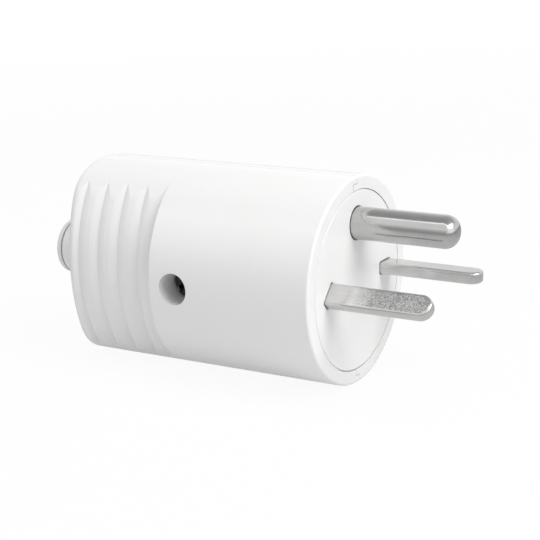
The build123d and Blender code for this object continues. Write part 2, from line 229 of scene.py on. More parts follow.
class EffectShelf:
    """Builds each shared effect once and hands out its node group."""

    def __init__(self) -> None:
        """Starts with no group made."""
        self.made: dict[Effect, bpy.types.NodeTree] = {}
        self.recipes: dict[Effect, Callable[[bpy.types.NodeTree], None]] = {
            Effect.MOULD_SKIN: self.mould_skin,
            Effect.EDGE_WEAR: self.edge_wear,
            Effect.CREVICE_DUST_AND_SHADE: self.crevice_dust_and_shade,
            Effect.DRAWN_LINES: self.drawn_lines,
            Effect.CRAZED_PLATING: self.crazed_plating,
            Effect.TURNING_MARKS: self.turning_marks,
        }

    def place(self, graph: Graph, effect: Effect, **values: object) -> bpy.types.Node:
        """Puts an effect into a material, building its group at its first use.

        Args:
            graph: the material's graph.
            effect: the effect to place.
            **values: its inputs, by name.

        Returns:
            The group's node.
        """
        if effect not in self.made:
            tree = bpy.data.node_groups.new(effect.value, "ShaderNodeTree")
            self.recipes[effect](tree)
            self.made[effect] = tree
        placed = graph.tree.nodes.new("ShaderNodeGroup")
        placed.node_tree = self.made[effect]
        graph.feed(placed, values)
        return placed

    @staticmethod
    def sockets(
        tree: bpy.types.NodeTree, inputs: Sequence[str], outputs: Sequence[str]
    ) -> tuple[Graph, bpy.types.Node, bpy.types.Node]:
        """Names a group's inputs and outputs.

        Args:
            tree: the group's tree.
            inputs: names of its inputs, beside the vector that every group has.
            outputs: names of its outputs.

        Returns:
            The group's graph, and its input and output nodes.
        """
        for way, names in (("INPUT", ("Vector", *inputs)), ("OUTPUT", outputs)):
            for name in names:
                kind = "NodeSocketVector" if name in VECTOR_SOCKETS else "NodeSocketFloat"
                tree.interface.new_socket(name, in_out=way, socket_type=kind)
        return Graph(tree), tree.nodes.new("NodeGroupInput"), tree.nodes.new("NodeGroupOutput")

    def mould_skin(self, tree: bpy.types.NodeTree) -> None:
        """Moulded plastic: broad flow tone, a soft peel, a fine grain and hair scratches.

        Args:
            tree: the group's tree.
        """
        graph, source, result = self.sockets(tree, ("Peel", "Grain"), ("Height", "Tone", "Haze"))
        place = source.outputs["Vector"]
        hairs = graph.patches(graph.stretched(place, HAIR_STRETCH, HAIR_TURN), HAIRS)
        soft = graph.calc("MULTIPLY", graph.noise(place, PEEL).outputs[0], source.outputs["Peel"])
        fine = graph.calc("MULTIPLY", graph.noise(place, GRAIN).outputs[0], source.outputs["Grain"])
        grooves = graph.calc("MULTIPLY", hairs, HAIR_DEPTH)
        height = graph.calc("SUBTRACT", graph.calc("ADD", soft, fine), grooves)
        haze = graph.calc("MAXIMUM", graph.patches(place, HAZE), hairs)
        graph.feed(result, {"Height": height, "Tone": graph.patches(place, FLOW), "Haze": haze})

    def edge_wear(self, tree: bpy.types.NodeTree) -> None:
        """Edges: a normal that rounds them, and a broken mask of where they are rubbed.

        Args:
            tree: the group's tree.
        """
        graph, source, result = self.sockets(tree, ("Radius", "Amount"), ("Mask", "Normal"))
        radius = source.outputs["Radius"]
        rounded = graph.node("ShaderNodeBevel", {"Radius": radius}, samples=SHADING_SAMPLES).outputs[0]
        plain = graph.node("ShaderNodeNewGeometry").outputs["Normal"]
        facing = graph.vector("DOT_PRODUCT", {0: rounded, 1: plain}).outputs["Value"]
        breakup = graph.patches(source.outputs["Vector"], RUBBED)
        rubbed = graph.calc("MULTIPLY", graph.spread(facing, *EDGE_LEAN), breakup)
        mask = graph.calc("MULTIPLY", rubbed, source.outputs["Amount"])
        graph.feed(result, {"Mask": mask, "Normal": rounded})

    def crevice_dust_and_shade(self, tree: bpy.types.NodeTree) -> None:
        """Corners and gaps: a mask of fine dust and painted shade, fullest where ambient occlusion finds a
        place sheltered.

        Args:
            tree: the group's tree.
        """
        graph, source, result = self.sockets(tree, ("Reach", "Amount"), ("Mask",))
        reach = {"Distance": source.outputs["Reach"]}
        shelter = graph.node("ShaderNodeAmbientOcclusion", reach, samples=SHADING_SAMPLES)
        depth = graph.spread(shelter.outputs["AO"], *CREVICE_OPENNESS)
        cloud = graph.patches(source.outputs["Vector"], DUST_AND_SHADE_CLOUD, THINNEST_DUST_AND_SHADE)
        # painted shade: the ambient occlusion darkens corners and gaps, broken up by a dust cloud
        dust_and_shade_share = graph.calc("MULTIPLY", depth, cloud)
        graph.feed(result, {"Mask": graph.calc("MULTIPLY", dust_and_shade_share, source.outputs["Amount"])})

    def drawn_lines(self, tree: bpy.types.NodeTree) -> None:
        """Metal drawn and slid along X: fine long lines, and a few deeper scratches.

        Args:
            tree: the group's tree.
        """
        graph, source, result = self.sockets(tree, ("Fineness",), ("Height", "Mask", "Scratch"))
        place = source.outputs["Vector"]
        texture = replace(LINES, scale=source.outputs["Fineness"])
        lines = graph.noise(graph.stretched(place, LINE_STRETCH), texture).outputs[0]
        deep = graph.patches(graph.stretched(place, SCRATCH_STRETCH, SCRATCH_TURN), DEEP_SCRATCHES)
        height = graph.calc("SUBTRACT", lines, deep)
        graph.feed(result, {"Height": height, "Mask": graph.spread(lines, *texture.span), "Scratch": deep})

    def crazed_plating(self, tree: bpy.types.NodeTree) -> None:
        """Plating that has gone mottled towards the tips: branched dark marks on a duller ground.

        Args:
            tree: the group's tree.
        """
        inputs = ("Start", "End", "Amount", "Face")
        graph, source, result = self.sockets(tree, inputs, ("Mask", "Ground", "Height"))
        place = source.outputs["Vector"]
        along = graph.node("ShaderNodeSeparateXYZ", {0: place}).outputs[0]
        turned = graph.node("ShaderNodeNewGeometry").outputs["Normal"]
        facing = graph.vector("DOT_PRODUCT", {0: turned, 1: source.outputs["Face"]}).outputs["Value"]
        on_face = graph.spread(facing, *FACE_LEAN)
        reach = graph.spread(along, source.outputs["Start"], source.outputs["End"], 0.0, on_face)
        bend = graph.noise(place, BEND).outputs["Color"]
        shift = graph.vector("SCALE", {0: bend, "Scale": BEND_REACH}).outputs[0]
        warped = graph.vector("ADD", {0: place, 1: shift}).outputs[0]
        cells = {"Vector": warped, "Scale": CELLS_IN_A_METRE}
        voronoi = graph.node("ShaderNodeTexVoronoi", cells, feature="DISTANCE_TO_EDGE")
        branches = graph.spread(voronoi.outputs["Distance"], *BRANCH_WIDTH, 1.0, 0.0)
        clouds = graph.patches(place, MARKS)
        veins = graph.calc("MULTIPLY", branches, clouds)
        marks = graph.calc("MAXIMUM", veins, graph.calc("MULTIPLY", clouds, FAINT_MARKS))
        mask = graph.calc("MULTIPLY", graph.calc("MULTIPLY", marks, reach), source.outputs["Amount"])
        patches = graph.patches(place, GROUND_PATCHES, THINNEST_GROUND)
        ground = graph.calc("MULTIPLY", graph.calc("MULTIPLY", reach, patches), source.outputs["Amount"])
        graph.feed(result, {"Mask": mask, "Ground": ground, "Height": graph.calc("MULTIPLY", mask, -1.0)})

    def turning_marks(self, tree: bpy.types.NodeTree) -> None:
        """Rings left by turning, about an axis along Y that the vector is measured from.

        Args:
            tree: the group's tree.
        """
        graph, source, result = self.sockets(tree, ("Rings",), ("Height",))
        flat = graph.vector("MULTIPLY", {0: source.outputs["Vector"], 1: (1.0, 0.0, 1.0)}).outputs[0]
        radius = graph.vector("LENGTH", {0: flat}).outputs["Value"]
        wave = graph.calc("SINE", graph.calc("MULTIPLY", radius, source.outputs["Rings"]))
        ragged = graph.noise(source.outputs["Vector"], RAGGED_RINGS).outputs[0]
        graph.feed(result, {"Height": graph.calc("MULTIPLY", wave, ragged)})


def new_material(name: str) -> tuple[bpy.types.Material, Graph]:
    """Starts a material with an empty graph.

    Args:
        name: the material's name.

    Returns:
        The material and its graph.
    """
    made = bpy.data.materials.new(name)
    made.use_nodes = True
    made.node_tree.nodes.clear()
    return made, Graph(made.node_tree)


def surface(graph: Graph, colour: object, rough: object, normal: object, metallic: float = 0.0) -> None:
    """Ends a material with its surface shader.

    Args:
        graph: the material's graph.
        colour: the base colour.
        rough: the roughness.
        normal: the normal.
        metallic: 1 for bare metal, 0 for plastic.
    """
    inputs = {"Base Color": colour, "Roughness": rough, "Normal": normal, "Metallic": metallic}
    shader = graph.node("ShaderNodeBsdfPrincipled", inputs)
    graph.node("ShaderNodeOutputMaterial", {"Surface": shader.outputs[0]})


@dataclass(frozen=True)
class MouldedPlastic:
    """A moulded plastic: its two tones, its gloss, how its edges have worn, and the dust and painted shade
    in its corners.
    """

    name: str
    colour: Colour
    second_tone: Colour
    # a darker grey in corners and gaps: partly dust, partly painted shade
    dust_and_shade_colour: Colour = grey(0.5, 0.03)
    worn_colour: Colour = grey(0.92)
    gloss_rough: float = 0.21
    haze_rough: float = 0.25
    dusty_rough: float = 0.04
    peel: float = 1.0
    grain: float = 0.12
    relief: float = 2.5e-6
    edge_radius: float = 0.00014
    wear: float = 0.25
    dust_and_shade_reach: float = 0.001
    shade_and_dust: float = 0.35

    def material(self, shelf: EffectShelf) -> bpy.types.Material:
        """Builds the material.

        Args:
            shelf: where the shared effects come from.

        Returns:
            The new material.
        """
        made, graph = new_material(self.name)
        place = graph.node("ShaderNodeTexCoord").outputs["Object"]
        skin = shelf.place(graph, Effect.MOULD_SKIN, Vector=place, Peel=self.peel, Grain=self.grain)
        edges = shelf.place(graph, Effect.EDGE_WEAR, Vector=place, Radius=self.edge_radius, Amount=self.wear)
        shade_and_dust = shelf.place(graph, Effect.CREVICE_DUST_AND_SHADE, Vector=place, Reach=self.dust_and_shade_reach, Amount=self.shade_and_dust)
        toned = graph.mix(skin.outputs["Tone"], self.colour, self.second_tone)
        worn = graph.mix(edges.outputs["Mask"], toned, self.worn_colour)
        # painted shade and dust: corners and gaps turn a darker grey
        shaded_and_dusty = graph.mix(shade_and_dust.outputs["Mask"], worn, self.dust_and_shade_colour)
        gloss = graph.spread(skin.outputs["Haze"], 0.0, 1.0, self.gloss_rough, self.haze_rough)
        rough = graph.calc("ADD", gloss, graph.calc("MULTIPLY", shade_and_dust.outputs["Mask"], self.dusty_rough))
        normal = graph.bump(self.relief, skin.outputs["Height"], edges.outputs["Normal"])
        surface(graph, shaded_and_dusty, rough, normal)
        return made


@dataclass(frozen=True)
class PlatedMetal:
    """A plated metal with lines along X, and plating that may be crazed towards the tips."""

    name: str
    colour: Colour
    dull_colour: Colour
    ground_colour: Colour = grey(0.5, 0.01)
    line_colour: Colour = grey(0.42, 0.01)
    crazed_colour: Colour = grey(0.13, 0.02)
    edge_colour: Colour = grey(0.86)
    # a dark grey at the pins' bases and in corners: partly dirt, partly painted shade
    dirt_and_shade_colour: Colour = grey(0.18, 0.05)
    bright_rough: float = 0.12
    dull_rough: float = 0.19
    crazed_rough: float = 0.06
    clouds: Texture = Texture(260.0, 4.0, 0.6, (0.35, 0.7))
    fineness: float = 4200.0
    line_tone: float = 0.35
    relief: float = 3.2e-6
    crazed_depth: float = 3.0
    edge_radius: float = 0.0001
    wear: float = 0.5
    crazed: float = 0.0
    craze_start: float = 0.0055
    craze_end: float = 0.0095
    craze_face: Triple = (0.0, -0.7071, 0.7071)
    dust_and_shade_reach: float = 0.0009
    shade_and_dust: float = 0.35

    def material(self, shelf: EffectShelf) -> bpy.types.Material:
        """Builds the material.

        Args:
            shelf: where the shared effects come from.

        Returns:
            The new material.
        """
        made, graph = new_material(self.name)
        place = graph.node("ShaderNodeTexCoord").outputs["Object"]
        lines = shelf.place(graph, Effect.DRAWN_LINES, Vector=place, Fineness=self.fineness)
        edges = shelf.place(graph, Effect.EDGE_WEAR, Vector=place, Radius=self.edge_radius, Amount=self.wear)
        shade_and_dust = shelf.place(graph, Effect.CREVICE_DUST_AND_SHADE, Vector=place, Reach=self.dust_and_shade_reach, Amount=self.shade_and_dust)
        span = {"Start": self.craze_start, "End": self.craze_end}
        extent = {"Amount": self.crazed, "Face": self.craze_face}
        craze = shelf.place(graph, Effect.CRAZED_PLATING, Vector=place, **span, **extent)
        toned = graph.mix(graph.patches(place, self.clouds), self.colour, self.dull_colour)
        line_share = graph.calc("MULTIPLY", lines.outputs["Mask"], self.line_tone)
        lined = graph.mix(line_share, toned, self.line_colour)
        scratched = graph.mix(lines.outputs["Scratch"], lined, self.dull_colour)
        ground = graph.mix(craze.outputs["Ground"], scratched, self.ground_colour)
        crazed = graph.mix(craze.outputs["Mask"], ground, self.crazed_colour)
        worn = graph.mix(edges.outputs["Mask"], crazed, self.edge_colour)
        # painted shade and dirt: bases and corners turn dark
        shaded_and_dusty = graph.mix(shade_and_dust.outputs["Mask"], worn, self.dirt_and_shade_colour)
        smooth = graph.spread(lines.outputs["Mask"], 0.0, 1.0, self.bright_rough, self.dull_rough)
        rough = graph.calc("ADD", smooth, graph.calc("MULTIPLY", craze.outputs["Mask"], self.crazed_rough))
        pits = graph.calc("MULTIPLY", craze.outputs["Height"], self.crazed_depth)
        height = graph.calc("ADD", lines.outputs["Height"], pits)
        normal = graph.bump(self.relief, height, edges.outputs["Normal"])
        surface(graph, shaded_and_dusty, rough, normal, metallic=1.0)
        return made


@dataclass(frozen=True)
class TurnedSteel:
    """Steel of the screws and the nut, with turning marks round its own axis, and dirt and painted shade in
    its slots.
    """

    name: str
    colour: Colour
    dull_colour: Colour
    centre: Triple
    edge_colour: Colour = grey(0.7)
    # near black in slots and corners: partly dirt, partly painted shade
    dirt_and_shade_colour: Colour = grey(0.05, 0.05)
    spots: Texture = Texture(1100.0, 5.0, 0.7, (0.4, 0.65))
    bright_rough: float = 0.18
    dull_rough: float = 0.25
    rings: float = 60000.0
    relief: float = 1.5e-6
    edge_radius: float = 0.00008
    wear: float = 0.8
    dust_and_shade_reach: float = 0.0008
    shade_and_dust: float = 0.6

    def material(self, shelf: EffectShelf) -> bpy.types.Material:
        """Builds the material.

        Args:
            shelf: where the shared effects come from.

        Returns:
            The new material.
        """
        made, graph = new_material(self.name)
        place = graph.node("ShaderNodeTexCoord").outputs["Object"]
        from_axis = graph.vector("SUBTRACT", {0: place, 1: self.centre}).outputs[0]
        rings = shelf.place(graph, Effect.TURNING_MARKS, Vector=from_axis, Rings=self.rings)
        edges = shelf.place(graph, Effect.EDGE_WEAR, Vector=place, Radius=self.edge_radius, Amount=self.wear)
        shade_and_dust = shelf.place(graph, Effect.CREVICE_DUST_AND_SHADE, Vector=place, Reach=self.dust_and_shade_reach, Amount=self.shade_and_dust)
        spots = graph.patches(place, self.spots)
        toned = graph.mix(spots, self.colour, self.dull_colour)
        worn = graph.mix(edges.outputs["Mask"], toned, self.edge_colour)
        # painted shade and dirt: slots and corners turn near black
        shaded_and_dusty = graph.mix(shade_and_dust.outputs["Mask"], worn, self.dirt_and_shade_colour)
        rough = graph.spread(spots, 0.0, 1.0, self.bright_rough, self.dull_rough)
        normal = graph.bump(self.relief, rings.outputs["Height"], edges.outputs["Normal"])
        surface(graph, shaded_and_dusty, rough, normal, metallic=1.0)
        return made


@dataclass(frozen=True)
class Thread:
    """A screw thread: its outer radius, its pitch and its depth, in millimetres."""

    radius: float
    pitch: float = 0.5
    depth: float = 0.28
    flat_share: float = 0.15

    def wall(self, along: float, turn: float) -> float:
        """The thread's radius.

        Args:
            along: the place along the axis.
            turn: the share of a turn round the axis.

        Returns:
            The radius there.
        """
        phase = (along / self.pitch - turn) % 1.0
        slope = (1 + 2 * self.flat_share) * abs(2 * phase - 1) - self.flat_share
        return self.radius - self.depth * min(max(slope, 0.0), 1.0)


def tube_faces(form: bmesh.types.BMesh, rings: Sequence[Sequence[bmesh.types.BMVert]], closed: bool) -> None:
    """Joins rings of points by faces.

    Args:
        form: the mesh that holds the points.
        rings: the rings, each with as many points.
        closed: whether the last ring also joins the first one. Otherwise both ends are capped.
    """
    count = len(rings[0])
    pairs = list(zip(rings, rings[1:] + rings[:1] if closed else rings[1:]))
    for lower, upper in pairs:
        for i in range(count):
            j = (i + 1) % count
            form.faces.new((lower[i], lower[j], upper[j], upper[i]))
    if not closed:
        form.faces.new(rings[0][::-1])
        form.faces.new(rings[-1])
    bmesh.ops.recalc_face_normals(form, faces=form.faces)


def ring_points(form: bmesh.types.BMesh, along: float, radii: Sequence[float]) -> list[bmesh.types.BMVert]:
    """Adds a ring round Z at a height, with a radius for each point, and gives its points."""
    turns = [math.tau * i / len(radii) for i in range(len(radii))]
    return [form.verts.new((r * math.cos(t), r * math.sin(t), along)) for r, t in zip(radii, turns)]


def finished_mesh(name: str, form: bmesh.types.BMesh) -> bpy.types.Mesh:
    """Turns a form into a mesh that is smooth but for its sharp edges.

    Args:
        name: the mesh's name.
        form: the form, which is freed.

    Returns:
        The new mesh.
    """
    mesh = bpy.data.meshes.new(name)
    form.to_mesh(mesh)
    form.free()
    mesh.shade_smooth()
    mesh.set_sharp_from_angle(angle=SHARP_FROM)
    return mesh


def linked(name: str, data: object) -> bpy.types.Object:
    """Adds an object with this data to the scene."""
    made = bpy.data.objects.new(name, data)
    bpy.context.scene.collection.objects.link(made)
    return made


def seat(origin: Triple, long_way: Triple, outward: Triple) -> Matrix:
    """A place in the plug, for a form in millimetres whose Z points outward and X the long way.

    Args:
        origin: the place in millimetres.
        long_way: the direction that X takes.
        outward: the direction that Z takes.

    Returns:
        The transform to metres.
    """
    x, z = Vector(long_way), Vector(outward)
    turn = Matrix((x, z.cross(x), z)).transposed().to_4x4()
    return Matrix.Scale(MM, 4) @ Matrix.Translation(origin) @ turn


@dataclass(frozen=True)
class SlottedScrew:
    """A slotted screw in millimetres, with its seat at 0 and its head above, or with no head."""

    thread: Thread
    length: float
    tip_edge: float
    slot_width: float
    slot_depth: float
    slot_turn: float = 0.0
    head_radius: float = 0.0
    head_height: float = 0.0
    head_edge: float = 0.0
    columns: int = 40
    rows_in_a_pitch: int = 8
    edge_rows: int = 6
    top_edge: float = 0.12
    cutter_reach: float = 4.0

    def shank_rings(self, form: bmesh.types.BMesh) -> list[list[bmesh.types.BMVert]]:
        """Adds the threaded shank, narrowed at both ends.

        Args:
            form: the mesh that the points go into.

        Returns:
            Its rings from the tip up to the seat.
        """
        rings = []
        rows = round(self.length / self.thread.pitch * self.rows_in_a_pitch)
        bare_top = 0.0 if self.head_radius else self.top_edge
        for k in range(rows + 1):
            along = -self.length + self.length * k / rows
            tip_limit = self.thread.radius - self.tip_edge + (along + self.length)
            top_limit = self.thread.radius - bare_top - along
            limit = min(tip_limit, top_limit)
            radii = [min(self.thread.wall(along, i / self.columns), limit) for i in range(self.columns)]
            rings.append(ring_points(form, along, radii))
        return rings

    def head_rings(self, form: bmesh.types.BMesh) -> list[list[bmesh.types.BMVert]]:
        """Adds the head.

        Args:
            form: the mesh that the points go into.

        Returns:
            Its rings from the underside to the rounded edge of its top.
        """
        radii_and_heights = [(self.head_radius - self.top_edge, 0.0), (self.head_radius, self.top_edge)]
        for k in range(self.edge_rows + 1):
            angle = math.pi / 2 * k / self.edge_rows
            radius = self.head_radius - self.head_edge * (1 - math.cos(angle))
            radii_and_heights.append((radius, self.head_height - self.head_edge * (1 - math.sin(angle))))
        return [ring_points(form, height, [radius] * self.columns) for radius, height in radii_and_heights]

    def slot_cutter(self) -> bpy.types.Object:
        """Makes the bar that cuts the driver's slot.

        Returns:
            A bar of the slot's width across the top.
        """
        form = bmesh.new()
        bmesh.ops.create_cube(form, size=1.0)
        reach = self.cutter_reach * max(self.head_radius, self.thread.radius)
        bmesh.ops.scale(form, vec=(reach, self.slot_width, 2 * self.slot_depth), verts=form.verts)
        turn = Matrix.Rotation(math.radians(self.slot_turn), 3, "Z")
        bmesh.ops.rotate(form, matrix=turn, verts=form.verts)
        bmesh.ops.translate(form, vec=(0.0, 0.0, self.head_height), verts=form.verts)
        return linked("slot_cutter", finished_mesh("slot_cutter", form))

    def mesh(self, name: str) -> bpy.types.Mesh:
        """Builds the screw and cuts its slot.

        Args:
            name: the mesh's name.

        Returns:
            The mesh, in millimetres, at the origin.
        """
        form = bmesh.new()
        rings = self.shank_rings(form)
        if self.head_radius:
            rings += self.head_rings(form)
        tube_faces(form, rings, closed=False)
        blank = linked(name, finished_mesh(name, form))
        cutter = self.slot_cutter()
        cut = blank.modifiers.new("slot", "BOOLEAN")
        cut.object, cut.operation, cut.solver = cutter, "DIFFERENCE", "EXACT"
        depsgraph = bpy.context.evaluated_depsgraph_get()
        mesh = bpy.data.meshes.new_from_object(blank.evaluated_get(depsgraph))
        for piece in (blank, cutter):
            bpy.data.objects.remove(piece)
        return mesh


@dataclass(frozen=True)
class HexagonNut:
    """A nut in millimetres, at its heights on the screw's axis, with chamfered corners and its thread."""

    thread: Thread
    across_flats: float
    corner_radius: float
    low: float
    high: float
    clearance: float = 0.02
    chamfer_start: float = 2.6
    chamfer_slope: float = 0.55
    countersink: float = 0.2
    sides: int = 6
    columns: int = 72
    edge_rows: int = 5
    rows_in_a_pitch: int = 8

    def outer_radius(self, column: int, from_end: float) -> float:
        """The outside: a hexagon, cut by a cone near either end.

        Args:
            column: which point round the axis.
            from_end: the distance from the nearer end.

        Returns:
            The radius there.
        """
        sector = math.tau / self.sides
        from_flat = (math.tau * column / self.columns) % sector - sector / 2
        hexagon = self.across_flats / 2 / math.cos(from_flat)
        return min(hexagon, self.corner_radius, self.chamfer_start + from_end / self.chamfer_slope)

    def bore_radius(self, along: float, column: int) -> float:
        """The bore: the screw's own thread with a clearance, opened at either end.

        Args:
            along: the place along the axis.
            column: which point round the axis.

        Returns:
            The radius there.
        """
        from_end = min(along - self.low, self.high - along)
        opened = self.thread.radius + self.countersink - from_end
        return max(self.thread.wall(along, column / self.columns), opened) + self.clearance

    def mesh(self, name: str) -> bpy.types.Mesh:
        """Builds the nut.

        Args:
            name: the mesh's name.

        Returns:
            The mesh, in millimetres, on the screw's axis.
        """
        form = bmesh.new()
        height = self.high - self.low
        chamfer = (self.corner_radius - self.chamfer_start) * self.chamfer_slope
        steps = [chamfer * k / self.edge_rows for k in range(self.edge_rows + 1)]
        rings = []
        for from_low in steps + [height - step for step in reversed(steps)]:
            from_end = min(from_low, height - from_low)
            radii = [self.outer_radius(i, from_end) for i in range(self.columns)]
            rings.append(ring_points(form, self.low + from_low, radii))
        rows = round(height / self.thread.pitch * self.rows_in_a_pitch)
        for k in range(rows + 1):
            along = self.high - height * k / rows
            radii = [self.bore_radius(along, i) for i in range(self.columns)]
            rings.append(ring_points(form, along, radii))
        tube_faces(form, rings, closed=True)
        return finished_mesh(name, form)


@dataclass(frozen=True)
class RoundedBlade:
    """A flat blade in millimetres along X, its width along Y, with a round end and rounded edges."""

    root: float = -3.0
    tip: float = 20.19
    width: float = 4.5
    thickness: float = 2.3
    edge: float = 0.55
    arc_steps: int = 32
    edge_steps: int = 10

    def outline(self) -> list[tuple[Vector, Vector]]:
        """Walks round the blade's outline.

        Returns:
            Its points from one side of the root to the other, each with its outward direction.
        """
        half = self.width / 2
        centre = Vector((self.tip - half, 0.0, 0.0))
        outward = Vector((0.0, 1.0, 0.0))
        points = [(Vector((self.root, half, 0.0)), outward)]
        for k in range(self.arc_steps + 1):
            angle = math.pi / 2 - math.pi * k / self.arc_steps
            away = Vector((math.cos(angle), math.sin(angle), 0.0))
            points.append((centre + half * away, away))
        points.append((Vector((self.root, -half, 0.0)), -outward))
        return points

    def mesh(self, name: str) -> bpy.types.Mesh:
        """Builds the blade.

        Args:
            name: the mesh's name.

        Returns:
            The mesh, in millimetres, at the origin.
        """
        form = bmesh.new()
        flat = self.thickness / 2 - self.edge
        quarter = [math.pi / 2 * k / self.edge_steps for k in range(self.edge_steps + 1)]
        section = [(math.sin(a), flat + self.edge * math.cos(a)) for a in quarter]
        section += [(reach, -height) for reach, height in reversed(section)]
        up = Vector((0.0, 0.0, 1.0))
        strips = []
        for point, away in self.outline():
            inset = point - self.edge * away
            places = [inset + self.edge * reach * away + height * up for reach, height in section]
            strips.append([form.verts.new(place) for place in places])
        for one, other in zip(strips, strips[1:]):
            for i in range(len(section) - 1):
                form.faces.new((one[i], other[i], other[i + 1], one[i + 1]))
        rounded_faces = len(form.faces)
        form.faces.new([strip[0] for strip in strips])
        form.faces.new([strip[-1] for strip in reversed(strips)])
        form.faces.new(strips[0] + strips[-1][::-1])
        bmesh.ops.recalc_face_normals(form, faces=form.faces)
        mesh = finished_mesh(name, form)
        for face in mesh.polygons[rounded_faces:]:
            face.use_smooth = False
        return mesh


def behind(node: str, plane: float, tolerance: float = 1e-7) -> bpy.types.Mesh:
    """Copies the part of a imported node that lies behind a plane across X.

    Args:
        node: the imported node.
        plane: where the plane stands, in metres.
        tolerance: how near two points are to be one.

    Returns:
        The new mesh, closed at the plane.
    """
    form = bmesh.new()
    form.from_mesh(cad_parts[node].data)
    bmesh.ops.remove_doubles(form, verts=form.verts, dist=tolerance)
    parts = form.verts[:] + form.edges[:] + form.faces[:]
    across_x = {"plane_co": (plane, 0.0, 0.0), "plane_no": (1.0, 0.0, 0.0)}
    cut = bmesh.ops.bisect_plane(form, geom=parts, clear_outer=True, **across_x)
    rim = [item for item in cut["geom_cut"] if isinstance(item, bmesh.types.BMEdge)]
    bmesh.ops.holes_fill(form, edges=rim)
    bmesh.ops.recalc_face_normals(form, faces=form.faces)
    return finished_mesh(node, form)


def gathered(name: str, parts: Sequence[tuple[bpy.types.Mesh, Matrix]]) -> bpy.types.Object:
    """Makes one piece of several meshes, or of several copies of one.

    Args:
        name: the piece's name.
        parts: a mesh and a place for each copy. The meshes are removed.

    Returns:
        The piece, with its own mesh in metres.
    """
    form = bmesh.new()
    for mesh, place in parts:
        copy = mesh.copy()
        copy.transform(place)
        form.from_mesh(copy)
        bpy.data.meshes.remove(copy)
    for mesh in dict(parts):
        bpy.data.meshes.remove(mesh)
    whole = bpy.data.meshes.new(name)
    form.to_mesh(whole)
    form.free()
    return linked(name, whole)


def dress(node: str, material: bpy.types.Material) -> None:
    """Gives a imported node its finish, in place of the plain one it came with.

    Args:
        node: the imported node.
        material: its finish.
    """
    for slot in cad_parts[node].material_slots:
        slot.material = material
    log.info("packed piece %s wears %s", node, material.name)


def stand_in(piece: bpy.types.Object, node: str, material: bpy.types.Material) -> None:
    """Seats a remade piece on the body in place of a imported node.

    Args:
        piece: the remade piece.
        node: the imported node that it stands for.
        material: its finish.
    """
    piece.data.materials.append(material)
    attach(piece, ROOT_BODY)
    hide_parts(node)
    log.info("remade piece %s has %d faces", piece.name, len(piece.data.polygons))


@dataclass
class Housing:
    """The two moulded halves."""

    shelf: EffectShelf
    nodes: tuple[str, ...] = ("housing_near_half", "housing_far_half")
    finish: MouldedPlastic = MouldedPlastic("white_moulding", grey(0.85, 0.002), grey(0.84, 0.003))

    def build(self) -> None:
        """Dresses both halves."""
        material = self.finish.material(self.shelf)
        for node in self.nodes:
            dress(node, material)


@dataclass
class Contacts:
    """The carrier disc, the three pins that stand from it and the screws in their terminals."""

    shelf: EffectShelf
    blade_offset: float = 11.4
    near_angle: float = 45.0
    far_angle: float = 0.0
    terminal_depth: float = 13.9
    terminal_reaches: tuple[tuple[float, float], ...] = ((90.0, 15.5), (180.0, 15.8), (0.0, 15.8))
    carrier_finish: MouldedPlastic = MouldedPlastic(
        "white_carrier",
        grey(0.85, 0.002),
        grey(0.845, 0.003),
        edge_radius=0.0001,
        # a darker grey in the carrier's seam and corners: dust and painted shade
        dust_and_shade_reach=0.0006,
        shade_and_dust=0.2,
    )
    pin_finish: PlatedMetal = PlatedMetal("plated_pin", grey(0.57, 0.006), grey(0.53, 0.006))
    near_blade_finish: PlatedMetal = PlatedMetal(
        "plated_crazed_blade", grey(0.70, 0.006), grey(0.64, 0.006), crazed=0.95
    )
    far_blade_finish: PlatedMetal = PlatedMetal(
        "plated_blade", grey(0.68, 0.006), grey(0.62, 0.006), crazed=0.3, craze_face=(0.0, 0.0, 1.0)
    )
    blade_form: RoundedBlade = RoundedBlade()
    screw_finish: TurnedSteel = TurnedSteel(
        "terminal_zinc", grey(0.6, 0.01), grey(0.5, 0.015), centre=(-0.0139, 0.0, 0.0)
    )
    screw: SlottedScrew = SlottedScrew(Thread(1.5), length=4.2, tip_edge=0.3, slot_width=0.5, slot_depth=0.8)

    def build(self) -> None:
        """Dresses the carrier and each pin, and makes the terminal screws."""
        dress("pin_carrier", self.carrier_finish.material(self.shelf))
        dress("round_pin", self.pin_finish.material(self.shelf))
        self.blade("angled_blade", -self.blade_offset, self.near_angle, self.near_blade_finish)
        self.blade("flat_blade", self.blade_offset, self.far_angle, self.far_blade_finish)
        screw = self.screw.mesh("terminal_screw")
        parts = []
        for angle, reach in self.terminal_reaches:
            outward = (0.0, math.cos(math.radians(angle)), math.sin(math.radians(angle)))
            origin = (-self.terminal_depth, reach * outward[1], reach * outward[2])
            parts.append((screw, seat(origin, ALONG_PLUG, outward)))
        piece = gathered("threaded_terminal_screws", parts)
        stand_in(piece, "terminal_screws", self.screw_finish.material(self.shelf))

    def blade(self, node: str, offset: float, angle: float, finish: PlatedMetal) -> None:
        """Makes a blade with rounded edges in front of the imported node's own terminal.

        Args:
            node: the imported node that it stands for.
            offset: the blade's place across the plug.
            angle: the turn of its width, in degrees.
            finish: its finish.
        """
        outward = (0.0, -math.sin(math.radians(angle)), math.cos(math.radians(angle)))
        terminal = (behind(node, self.blade_form.root * MM), Matrix())
        blade = (self.blade_form.mesh(node), seat((0.0, offset, 0.0), ALONG_PLUG, outward))
        piece = gathered("rounded_" + node, [terminal, blade])
        stand_in(piece, node, finish.material(self.shelf))


